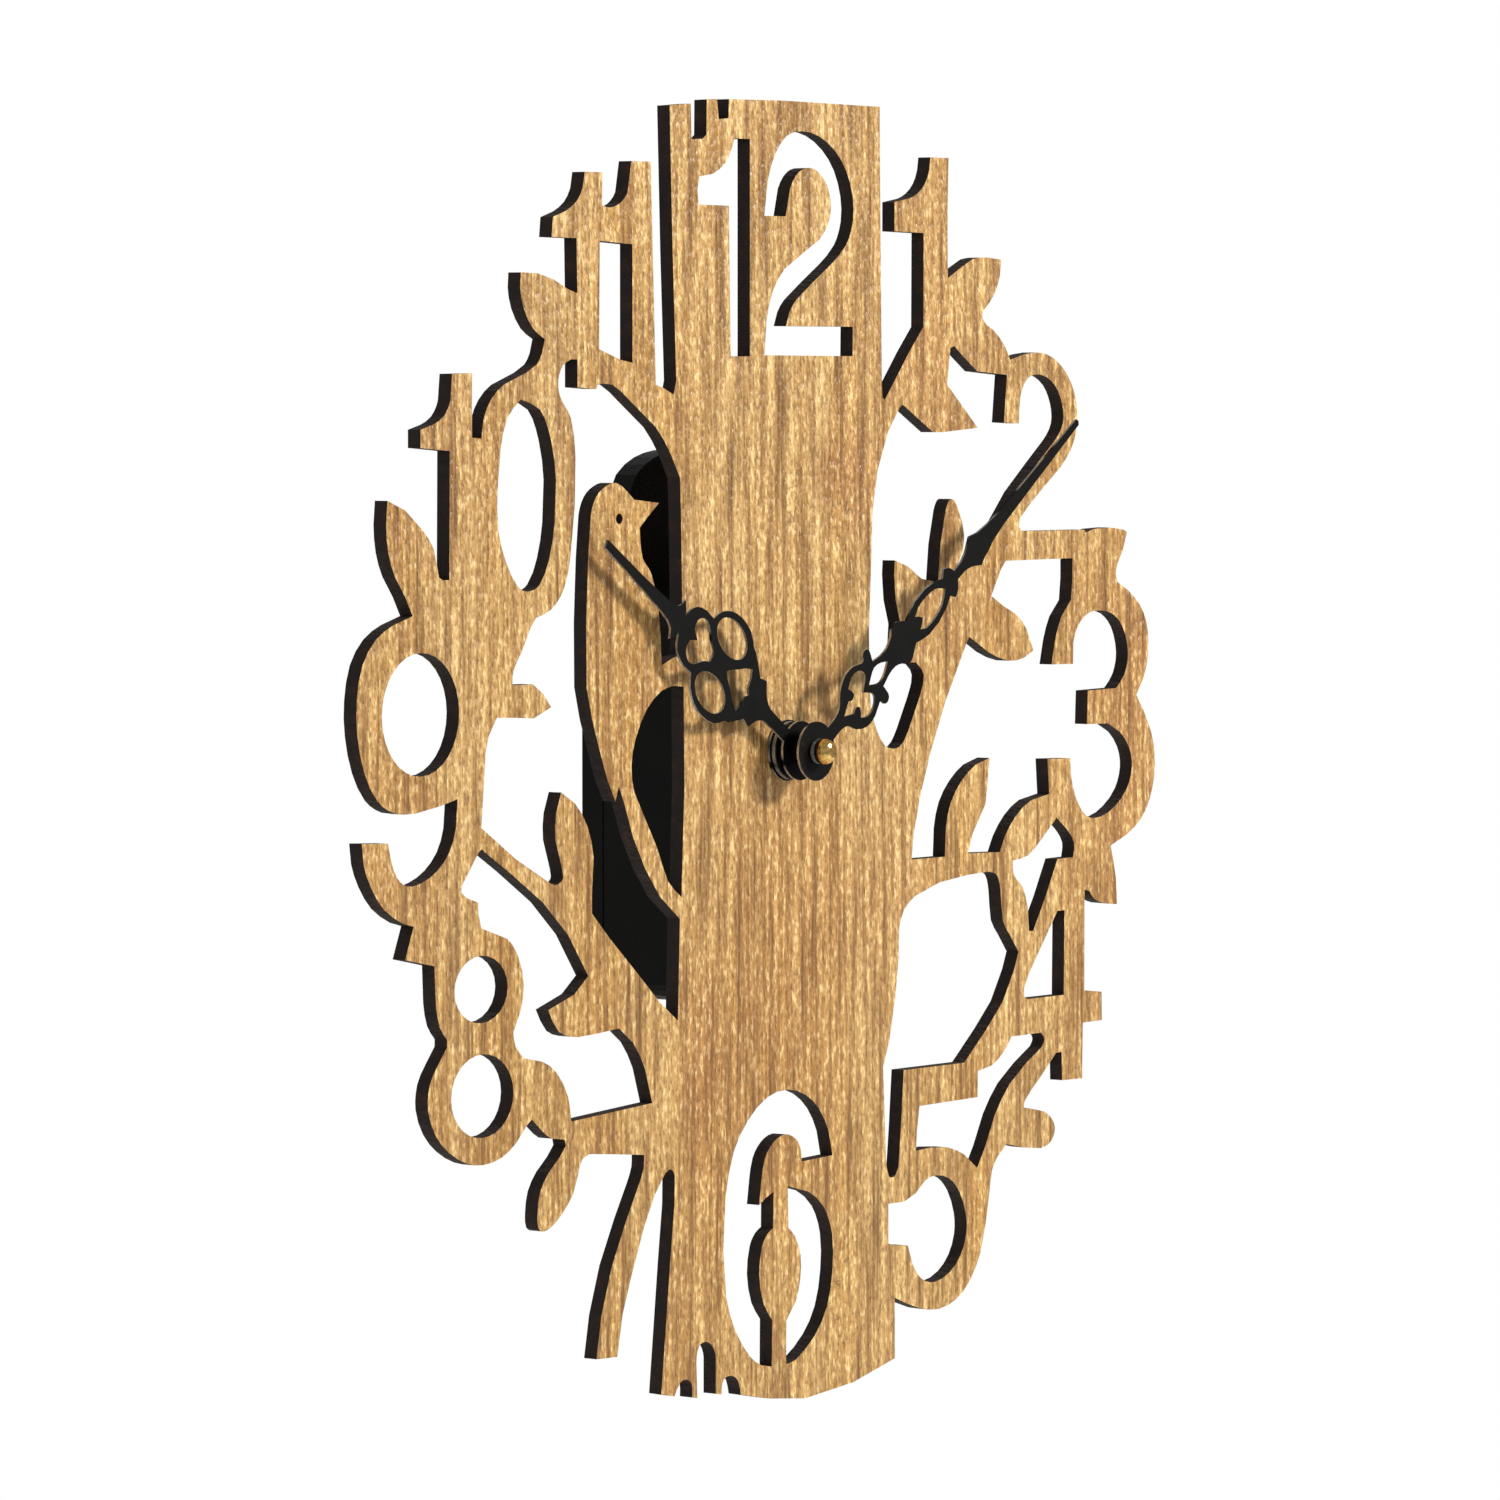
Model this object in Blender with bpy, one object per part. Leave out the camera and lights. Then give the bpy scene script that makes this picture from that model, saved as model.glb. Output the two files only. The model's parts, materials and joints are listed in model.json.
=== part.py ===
"""Wall clock cut from one wooden board as a tree with a bird, on a quartz movement.

Lengths are in millimetres here and become metres when a mesh is made. X is to the viewer's
right, Z is up, and Y runs from the hands (negative) back to the wall (Y = 0). The main shaft
is on the Y axis.
"""

import math

import bmesh
import bpy
from mathutils import Vector
from mathutils.geometry import tessellate_polygon

MM = 0.001
GAP = 0.3

# Board
BOARD_FRONT = -27.5
BOARD_THICKNESS = 3.0
BOARD_HOLE_R = 4.2
BIRD_EYE = (-50.8, 45.2)
BIRD_EYE_R = 1.0
CURVE_STEP = math.radians(13)

# Hands
HOUR_ANGLE = math.radians(304.5)
MINUTE_ANGLE = math.radians(54.0)
HAND_THICKNESS = 0.5
HOUR_HAND_FRONT = -31.4
MINUTE_HAND_FRONT = -35.2
HUB_R = 5.7
SHEET_CLEARANCE = 0.3
HOUR_PIPE_R = 2.55
MINUTE_SHAFT_R = 1.6
MINUTE_TIP_R = 1.2
SPINDLE_R = 0.5

# Movement case
CASE_FRONT = -23.0
COVER_FRONT = -5.0
CASE_HALF_WIDTH = 28.0
CASE_BOTTOM = -47.0
CASE_SHOULDER = 27.0
CASE_TOP = 31.5
CASE_WALL = 1.5
NECK_R = 3.9
NECK_BORE_R = 2.9

# Hanger on the rear cover
HANGER_HALF_WIDTH = 20.0
HANGER_DOME_START = 50.0
HANGER_TOP = 57.8
SLOT_HALF_WIDTH = 7.5
SLOT_BOTTOM = 47.9
SLOT_TOP = 52.9

# Battery bay
BATTERY_Z = -37.6
BATTERY_Y = -9.8
BATTERY_R = 7.1
BAY_HALF_WIDTH = 26.3
BAY_BOTTOM = -45.2
BAY_TOP = -30.0

# Gears: teeth and modules
MOTION_MODULE = 0.55
TEETH_CANNON = 10
TEETH_MINUTE_WHEEL = 30
TEETH_MINUTE_PINION = 8
TEETH_HOUR_WHEEL = 32
TEETH_SETTING = 10
TEETH_PINION = 8
TEETH_INTERMEDIATE = 40
TEETH_SECONDS = 48
TEETH_THIRD = 60
TEETH_CENTRE = 64
ROTOR_MODULE = 0.40
SECONDS_MODULE = 0.45
THIRD_MODULE = 0.35
CENTRE_MODULE = THIRD_MODULE * (TEETH_PINION + TEETH_THIRD) / (TEETH_PINION + TEETH_CENTRE)


def polar(centre, distance, degrees):
    angle = math.radians(degrees)
    return (centre[0] + distance * math.cos(angle), centre[1] + distance * math.sin(angle))


# Arbor positions (x, z), each at its meshing distance from the one before it
MAIN = (0.0, 0.0)
MINUTE_WHEEL_AT = polar(MAIN, MOTION_MODULE * (TEETH_CANNON + TEETH_MINUTE_WHEEL) / 2, 35)
SETTING_AT = polar(MINUTE_WHEEL_AT, MOTION_MODULE * (TEETH_MINUTE_WHEEL + TEETH_SETTING) / 2, 20)
THIRD_AT = polar(MAIN, THIRD_MODULE * (TEETH_PINION + TEETH_THIRD) / 2, 150)
INTERMEDIATE_AT = polar(MAIN, SECONDS_MODULE * (TEETH_PINION + TEETH_SECONDS) / 2, 290)
ROTOR_AT = polar(INTERMEDIATE_AT, ROTOR_MODULE * (TEETH_PINION + TEETH_INTERMEDIATE) / 2, 340)
COIL_X = 22.0
COIL_Y = -7.9


# ---------------------------------------------------------------- outlines

def line(*points):
    """A stretch of straight edges through these points."""
    return ("line", points)


def curve(*points):
    """A smooth stretch from the last point so far through these points."""
    return ("curve", points)


def spline_points(points):
    """Catmull-Rom points after the first one, closer together where the curve turns more."""
    ends = [Vector(p) for p in points]
    full = [2 * ends[0] - ends[1]] + ends + [2 * ends[-1] - ends[-2]]
    result = []
    for before, start, end, after in zip(full, full[1:], full[2:], full[3:]):
        chord = (end - start).length
        leave = (end - before).normalized() * chord
        arrive = (after - start).normalized() * chord
        turn = leave.angle(end - start) + arrive.angle(end - start)
        steps = max(1, math.ceil(turn / CURVE_STEP))
        for step in range(1, steps + 1):
            t = step / steps
            point = ((2 * t**3 - 3 * t**2 + 1) * start + (t**3 - 2 * t**2 + t) * leave
                     + (3 * t**2 - 2 * t**3) * end + (t**3 - t**2) * arrive)
            result.append((point.x, point.y))
    return result


def outline(*stretches):
    """A closed loop of (x, z) points from straight and smooth stretches."""
    loop = []
    for kind, points in stretches:
        if kind == "line":
            loop.extend(points)
        else:
            loop.extend(spline_points([loop[-1], *points]))
    if math.dist(loop[0], loop[-1]) < 0.01:
        loop.pop()
    return loop


def mirrored(*stretches):
    """A closed loop from its right half, listed from the bottom to the top of the Z axis."""
    right = outline(*stretches)
    left = [(-x, z) for x, z in reversed(right) if x > 0.001]
    return right + left


def ellipse(centre, half_width, half_height, count=28):
    turns = [2 * math.pi * i / count for i in range(count)]
    return [(centre[0] + half_width * math.cos(t), centre[1] + half_height * math.sin(t)) for t in turns]


def circle(centre, radius, count=24):
    return ellipse(centre, radius, radius, count)


def box(left, right, bottom, top):
    return [(left, bottom), (right, bottom), (right, top), (left, top)]


def rounded_box(left, right, bottom, top, radius, steps=4):
    loop = []
    corners = [(right - radius, bottom + radius, 270), (right - radius, top - radius, 0),
               (left + radius, top - radius, 90), (left + radius, bottom + radius, 180)]
    for x, z, start in corners:
        for step in range(steps + 1):
            loop.append(polar((x, z), radius, start + 90 * step / steps))
    return loop


def gear(centre, teeth, module, phase, pointed=True):
    """A gear's outline with one tooth's middle at the phase angle."""
    pitch_r = module * teeth / 2
    tip_r = pitch_r + 0.6 * module
    root_r = pitch_r - 1.0 * module
    profile = [(0.0, tip_r), (0.5, root_r)] if pointed else [
        (-0.08, tip_r), (0.08, tip_r), (0.34, root_r), (0.66, root_r)]
    loop = []
    for tooth in range(teeth):
        for share, radius in profile:
            angle = phase + 2 * math.pi * (tooth + share) / teeth
            loop.append((centre[0] + radius * math.cos(angle), centre[1] + radius * math.sin(angle)))
    return loop


def meshed_phase(centre, teeth, phase, other_centre, other_teeth):
    """The phase that puts the other gear's gap where this gear's tooth is."""
    heading = math.atan2(other_centre[1] - centre[1], other_centre[0] - centre[0])
    share = (heading - phase) * teeth / (2 * math.pi)
    return heading + math.pi - (0.5 - share) * 2 * math.pi / other_teeth


# ---------------------------------------------------------------- solids

def area(loop):
    return 0.5 * sum(a[0] * b[1] - b[0] * a[1] for a, b in zip(loop, loop[1:] + loop[:1]))


def turned_left(loop):
    """The loop with its points in anticlockwise order, seen from the front."""
    return list(loop) if area(loop) > 0 else list(reversed(loop))


class Builder:
    """Collects points and faces of one solid, made of walls along Y and flat caps."""

    def __init__(self, origin):
        self.origin = origin
        self.points = []
        self.faces = []
        self.index = {}

    def point(self, x, y, z):
        key = (round(x, 5), round(y, 5), round(z, 5))
        if key not in self.index:
            self.index[key] = len(self.points)
            local = Vector(key) - Vector(self.origin)
            self.points.append(local * MM)
        return self.index[key]

    def face(self, corners):
        ids = [self.point(*corner) for corner in corners]
        if len(set(ids)) == len(ids):
            self.faces.append(ids)

    def wall(self, front_loop, front_y, back_loop, back_y, outward):
        count = len(front_loop)
        for i in range(count):
            j = (i + 1) % count
            corners = [(front_loop[i][0], front_y, front_loop[i][1]),
                       (front_loop[j][0], front_y, front_loop[j][1]),
                       (back_loop[j][0], back_y, back_loop[j][1]),
                       (back_loop[i][0], back_y, back_loop[i][1])]
            self.face(corners[::-1] if outward else corners)

    def cap(self, loops, y, faces_front):
        flat = [point for loop in loops for point in loop]
        triangles = tessellate_polygon([[Vector((x, z, 0)) for x, z in loop] for loop in loops])
        for ids in triangles:
            corners = [flat[i] for i in ids]
            anticlockwise = area(corners) > 0
            if anticlockwise != faces_front:
                corners.reverse()
            self.face([(x, y, z) for x, z in corners])


def set_material(obj, material):
    obj.data.materials.append(material)


def smooth_round(obj):
    obj.data.shade_smooth()
    obj.data.set_sharp_from_angle(angle=math.radians(35))


def make_object(name, builder, material, axis_parent=None):
    mesh = bpy.data.meshes.new(name)
    mesh.from_pydata(builder.points, [], builder.faces)
    solid = bmesh.new()
    solid.from_mesh(mesh)
    bmesh.ops.recalc_face_normals(solid, faces=solid.faces)
    solid.to_mesh(mesh)
    solid.free()
    obj = bpy.data.objects.new(name, mesh)
    bpy.context.scene.collection.objects.link(obj)
    obj.location = Vector(builder.origin) * MM
    set_material(obj, material)
    smooth_round(obj)
    if axis_parent:
        obj.parent = axis_parent
        obj.matrix_parent_inverse = axis_parent.matrix_world.inverted()
    return obj


def plate(name, front, back, outer, holes, material, pivot=MAIN):
    """A flat plate with holes, from its front face to its back face."""
    builder = Builder((pivot[0], 0.0, pivot[1]))
    outer = turned_left(outer)
    holes = [turned_left(hole) for hole in holes]
    builder.wall(outer, front, outer, back, True)
    for hole in holes:
        builder.wall(hole, front, hole, back, False)
    builder.cap([outer, *holes], front, True)
    builder.cap([outer, *holes], back, False)
    return make_object(name, builder, material)


def add_chain(builder, chain, outward):
    """Walls and steps along a list of (y, loop), from the front to the back."""
    for (y0, loop0), (y1, loop1) in zip(chain, chain[1:]):
        if y1 != y0:
            builder.wall(loop0, y0, loop1, y1, outward)
            continue
        first_is_bigger = abs(area(loop0)) > abs(area(loop1))
        pair = [loop0, loop1] if first_is_bigger else [loop1, loop0]
        builder.cap(pair, y0, first_is_bigger != outward)


def stepped(name, outer, inner, material, pivot=MAIN, blind=False):
    """A stepped solid: its outer chain of (y, loop), and an inner chain for its bore.

    A blind bore starts inside the solid and is open at the back."""
    builder = Builder((pivot[0], 0.0, pivot[1]))
    outer = [(y, turned_left(loop)) for y, loop in outer]
    inner = [(y, turned_left(loop)) for y, loop in inner]
    add_chain(builder, outer, True)
    add_chain(builder, inner, False)
    if blind:
        builder.cap([inner[0][1]], inner[0][0], False)
    front_loops = [outer[0][1]] if blind or not inner else [outer[0][1], inner[0][1]]
    back_loops = [outer[-1][1], inner[-1][1]] if inner else [outer[-1][1]]
    builder.cap(front_loops, outer[0][0], True)
    builder.cap(back_loops, outer[-1][0], False)
    return make_object(name, builder, material)


def rings(centre, *steps, count=24):
    """A chain of circles from (y, radius) steps."""
    return [(y, circle(centre, radius, count)) for y, radius in steps]


def material(name, colour, roughness, metallic=0.0):
    made = bpy.data.materials.new(name)
    made.use_nodes = True
    shader = made.node_tree.nodes["Principled BSDF"]
    shader.inputs["Base Color"].default_value = (*colour, 1.0)
    shader.inputs["Roughness"].default_value = roughness
    shader.inputs["Metallic"].default_value = metallic
    return made


# ---------------------------------------------------------------- the board

def board_outline():
    trunk_top = line((-35.6, 122.6), (-29.2, 123.1), (-28.9, 116.4), (-25.5, 116.6), (-24.4, 117.4),
                     (-24.3, 124.0), (-21.2, 124.2), (-20.6, 120.4), (-17.6, 120.7), (-17.5, 124.3),
                     (0.0, 124.5), (30.2, 124.2), (30.5, 101.5), (31.0, 70.5), (31.2, 67.7), (32.0, 67.2))
    one = [line((40.0, 76.6), (44.6, 81.5), (44.7, 99.9), (35.1, 100.1), (35.1, 105.8)),
           curve((40.0, 106.6), (42.8, 107.7), (45.1, 109.6), (46.5, 112.3), (46.9, 114.8)),
           line((52.9, 114.8), (52.6, 103.8), (52.7, 91.1))]
    one_leaf = [curve((56.9, 93.2), (61.0, 95.0), (66.0, 95.4), (70.7, 95.0)),
                curve((70.2, 91.8), (68.8, 88.8), (66.8, 86.5), (64.5, 84.7)),
                curve((64.4, 83.3), (65.7, 82.1)),
                curve((68.2, 80.9), (70.2, 79.5), (72.2, 77.5), (73.8, 75.1))]
    two = [curve((78.4, 76.2), (82.3, 76.6), (86.5, 76.2), (90.2, 74.7), (93.4, 72.2), (95.8, 68.9),
                 (96.9, 64.8), (96.6, 60.6), (94.8, 57.1), (91.0, 53.4), (85.1, 49.4), (80.4, 46.0),
                 (77.2, 43.4)),
           line((76.8, 41.8), (77.8, 40.8), (88.5, 40.8), (99.5, 40.8), (100.1, 40.2))]
    three_leaf = [curve((103.0, 40.9), (108.5, 41.1), (113.3, 40.6)),
                  line((114.6, 40.1), (113.2, 36.5)),
                  curve((111.4, 33.9), (110.7, 31.6), (111.4, 29.9))]
    three = [curve((115.0, 28.2), (119.2, 25.2), (121.7, 21.5), (122.4, 17.2), (121.9, 13.0), (120.3, 9.6),
                   (118.1, 6.7)),
             curve((121.0, 3.0), (123.5, -1.1), (124.8, -5.9), (124.6, -10.4), (123.0, -14.9), (119.9, -18.8),
                   (114.8, -21.8), (109.1, -23.8))]
    four_leaf = [curve((110.0, -26.6), (111.0, -30.6), (111.4, -35.9)),
                 curve((106.5, -35.4), (103.2, -34.3), (101.6, -32.7)),
                 line((99.9, -32.3))]
    four = [line((99.9, -52.8), (106.0, -53.5), (106.1, -59.3), (99.4, -59.4), (99.2, -70.7),
                 (92.2, -70.6), (92.0, -64.8), (90.0, -64.9))]
    bud = [curve((85.1, -69.0), (81.7, -71.6), (79.2, -73.8), (78.9, -75.1)),
           curve((82.9, -75.8), (86.2, -76.5), (88.8, -78.3), (89.7, -80.4), (88.3, -82.7), (84.8, -83.8),
                 (79.0, -83.2), (73.0, -82.0))]
    five = [curve((69.9, -84.3), (68.0, -87.0), (67.1, -91.5), (66.0, -97.0), (64.2, -103.0),
                  (60.6, -108.3), (56.0, -111.6), (50.2, -113.0), (44.0, -112.3), (39.0, -110.7),
                  (35.5, -109.3))]
    trunk_bottom = [line((35.6, -121.3)),
                    curve((22.0, -124.6), (6.5, -126.1), (-5.0, -124.9), (-13.8, -123.2)),
                    curve((-14.6, -120.6), (-16.1, -119.4), (-18.4, -119.3), (-19.6, -120.4), (-19.8, -122.5)),
                    line((-21.6, -122.2)),
                    curve((-21.6, -115.3), (-22.6, -113.0), (-24.6, -111.9), (-26.7, -112.5), (-27.6, -115.5),
                          (-27.3, -122.4)),
                    line((-28.9, -122.1)),
                    curve((-29.0, -119.6), (-30.6, -118.5), (-32.6, -118.9), (-34.3, -121.3)),
                    line((-38.3, -120.5), (-35.6, -95.6), (-34.3, -84.9)),
                    curve((-34.2, -79.4), (-35.4, -78.0), (-37.1, -78.6))]
    seven = [curve((-40.4, -82.6), (-43.4, -88.0), (-47.4, -97.3), (-50.0, -104.2), (-51.6, -112.0)),
             line((-57.8, -111.8)),
             curve((-56.3, -103.8), (-53.2, -94.8), (-48.8, -86.4), (-45.0, -80.0), (-43.6, -77.0),
                   (-43.5, -74.6)),
             line((-53.0, -73.7), (-59.8, -73.1))]
    eight_leaf = [curve((-62.0, -74.0), (-63.3, -77.0), (-64.6, -80.1), (-68.0, -83.7), (-70.8, -85.6),
                        (-73.2, -86.4), (-74.8, -85.6), (-75.1, -83.0), (-74.3, -79.0), (-71.8, -75.6),
                        (-68.6, -73.0), (-66.8, -71.0)),
                  line((-67.1, -69.8)),
                  curve((-71.1, -69.3), (-74.2, -67.3), (-76.7, -65.3))]
    eight = [line((-78.3, -66.4)),
             curve((-81.2, -69.3), (-85.5, -71.7), (-90.8, -72.6), (-95.5, -71.9), (-100.5, -69.5),
                   (-104.2, -66.1), (-106.3, -61.4), (-105.8, -56.8), (-103.7, -53.6), (-100.9, -50.2)),
             line((-100.9, -48.9)),
             curve((-103.0, -46.4), (-104.1, -42.0), (-104.4, -35.2)),
             line((-112.6, -33.6), (-110.2, -27.7))]
    nine = [curve((-113.4, -26.9), (-118.5, -24.1), (-122.0, -20.0), (-124.0, -15.8), (-124.5, -12.0)),
            line((-117.3, -12.3)),
            curve((-116.3, -15.8), (-114.8, -18.6), (-112.0, -20.3), (-108.0, -19.9), (-103.7, -18.0),
                  (-100.2, -14.8), (-98.3, -10.5), (-97.8, -5.1)),
            curve((-102.7, -6.2), (-109.5, -7.2), (-115.5, -6.9), (-120.2, -4.5), (-123.7, 0.6),
                  (-125.6, 7.2), (-125.8, 13.5), (-124.2, 20.0), (-120.5, 24.5), (-115.6, 27.0),
                  (-110.3, 28.5))]
    ten_leaf = [curve((-112.3, 31.9), (-115.2, 35.7), (-117.0, 40.0), (-117.6, 45.0), (-117.2, 49.4)),
                curve((-112.3, 47.6), (-107.5, 44.0), (-104.3, 40.4), (-102.9, 35.3)),
                line((-101.8, 34.8), (-100.0, 34.8))]
    ten = [line((-99.8, 58.2), (-108.0, 58.8), (-108.0, 62.1)),
           curve((-104.5, 63.0), (-101.5, 64.5), (-99.6, 67.4), (-99.1, 72.2)),
           line((-93.5, 72.3), (-93.5, 60.6), (-90.9, 60.4)),
           curve((-90.2, 64.0), (-88.2, 67.4), (-84.5, 70.2), (-78.0, 72.4)),
           curve((-75.0, 73.9), (-73.4, 76.0), (-72.6, 78.6))]
    eleven_leaf = [curve((-76.0, 80.5), (-78.7, 84.2), (-79.7, 88.0), (-79.5, 90.8)),
                   curve((-74.8, 90.7), (-70.0, 89.6), (-66.0, 87.9), (-63.1, 87.1))]
    eleven = [line((-63.3, 97.3), (-70.6, 97.4), (-70.2, 101.1)),
              curve((-66.6, 102.2), (-63.4, 104.0), (-61.5, 106.6), (-60.9, 109.6)),
              line((-55.7, 109.6), (-55.8, 103.5)),
              curve((-53.6, 103.1), (-50.6, 103.9), (-48.2, 106.2), (-47.1, 111.9)),
              line((-41.3, 111.9), (-40.4, 86.9), (-39.8, 70.2), (-37.3, 69.5), (-34.4, 68.3),
                   (-33.6, 71.0), (-34.7, 95.3))]
    return outline(trunk_top, *one, *one_leaf, *two, *three_leaf, *three, *four_leaf, *four, *bud, *five,
                   *trunk_bottom, *seven, *eight_leaf, *eight, *nine, *ten_leaf, *ten, *eleven_leaf, *eleven)


def numeral_openings():
    """The 12 and the 6, cut right through the trunk, and the closed counters of the other numerals."""
    twelve_one = outline(line((-11.0, 116.9), (-11.0, 75.6), (-16.9, 75.5), (-17.3, 92.5), (-17.5, 104.1),
                              (-26.8, 104.2), (-27.1, 107.2), (-26.5, 109.5)),
                         curve((-22.6, 110.0), (-18.6, 112.2), (-16.6, 115.0), (-15.8, 116.9)))
    twelve_two = outline(line((-6.5, 102.4)),
                         curve((-5.4, 109.2), (-3.0, 114.4), (0.6, 117.8), (5.2, 118.8), (10.4, 118.1),
                               (15.6, 115.5), (19.4, 111.6), (21.5, 106.6), (21.6, 101.8), (19.4, 97.2),
                               (14.6, 93.4), (8.7, 89.8), (3.6, 86.5), (1.4, 84.1), (0.3, 81.4)),
                         line((21.6, 81.4), (21.5, 75.7), (-6.5, 75.8)),
                         curve((-5.8, 82.4), (-3.9, 88.0), (-0.2, 92.3), (5.4, 95.3), (10.8, 98.1),
                               (13.9, 101.7), (14.5, 105.5), (12.8, 109.2), (9.0, 111.7), (4.6, 111.1),
                               (1.6, 107.8), (0.2, 102.4)))
    six_left = outline(line((5.3, -79.9), (15.2, -79.5)),
                       curve((14.0, -74.8), (11.0, -70.2), (6.5, -67.0), (0.8, -65.6), (-5.5, -66.6),
                             (-11.6, -70.6), (-16.1, -76.4), (-18.6, -85.0), (-19.3, -95.0), (-18.4, -103.9),
                             (-15.5, -110.8), (-10.9, -116.2), (-7.4, -118.2), (-4.1, -118.8)),
                       line((-4.0, -109.8)),
                       curve((-6.7, -106.4), (-8.1, -100.7), (-7.2, -95.3), (-5.5, -93.0), (-3.7, -92.0)),
                       line((-3.6, -85.0)),
                       curve((-6.0, -86.0), (-8.1, -87.2)),
                       curve((-7.4, -82.6), (-6.3, -78.4), (-3.7, -75.5), (0.0, -74.2), (3.4, -75.3),
                             (5.0, -77.4), (5.3, -79.9)))
    six_right = outline(line((0.9, -84.3), (1.1, -92.4)),
                        curve((3.2, -94.2), (5.0, -98.0), (4.9, -102.6), (3.4, -107.0), (0.5, -110.3)),
                        line((0.4, -118.8)),
                        curve((3.6, -118.2), (9.6, -114.1), (13.4, -109.0), (15.2, -102.0), (15.1, -94.9),
                              (12.4, -89.3), (7.4, -85.9), (0.9, -84.3)))
    eleven = outline(line((-56.5, 96.9), (-46.8, 96.4), (-46.8, 74.3), (-50.2, 74.8), (-56.7, 76.8)))
    ten = outline(line((-79.6, 67.5)),
                  curve((-83.4, 64.2), (-85.4, 58.4), (-86.3, 50.8), (-86.0, 43.2), (-83.6, 37.2), (-80.5, 33.2),
                        (-77.6, 32.2), (-74.2, 33.4), (-71.4, 38.1), (-69.8, 44.8), (-69.4, 52.6),
                        (-70.8, 59.9), (-74.0, 65.6), (-79.6, 67.5)))
    nine = ellipse((-108.1, 10.6), 10.8, 11.2, 32)
    eight_upper = ellipse((-91.2, -40.3), 7.6, 6.2, 24)
    eight_lower = ellipse((-90.9, -59.9), 8.9, 7.7, 28)
    four = outline(line((92.9, -36.1), (92.7, -53.3), (79.9, -53.3), (78.9, -52.6), (78.9, -51.0)),
                   curve((80.8, -47.9), (84.0, -44.0), (88.5, -38.5)), line((90.4, -36.1)))
    five_bowl = outline(line((33.4, -90.6), (38.6, -90.6)),
                        curve((42.4, -89.3), (45.6, -87.0), (49.4, -86.3), (53.6, -87.3), (57.0, -90.2),
                              (59.2, -94.9), (59.3, -99.0), (57.4, -103.0), (53.8, -106.0), (48.6, -107.5),
                              (44.2, -106.3), (41.4, -103.2), (39.8, -99.4)),
                        line((35.2, -98.9), (33.4, -98.4)))
    return [twelve_one, twelve_two, six_left, six_right, eleven, ten, nine, eight_upper, eight_lower, four,
            five_bowl]


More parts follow.
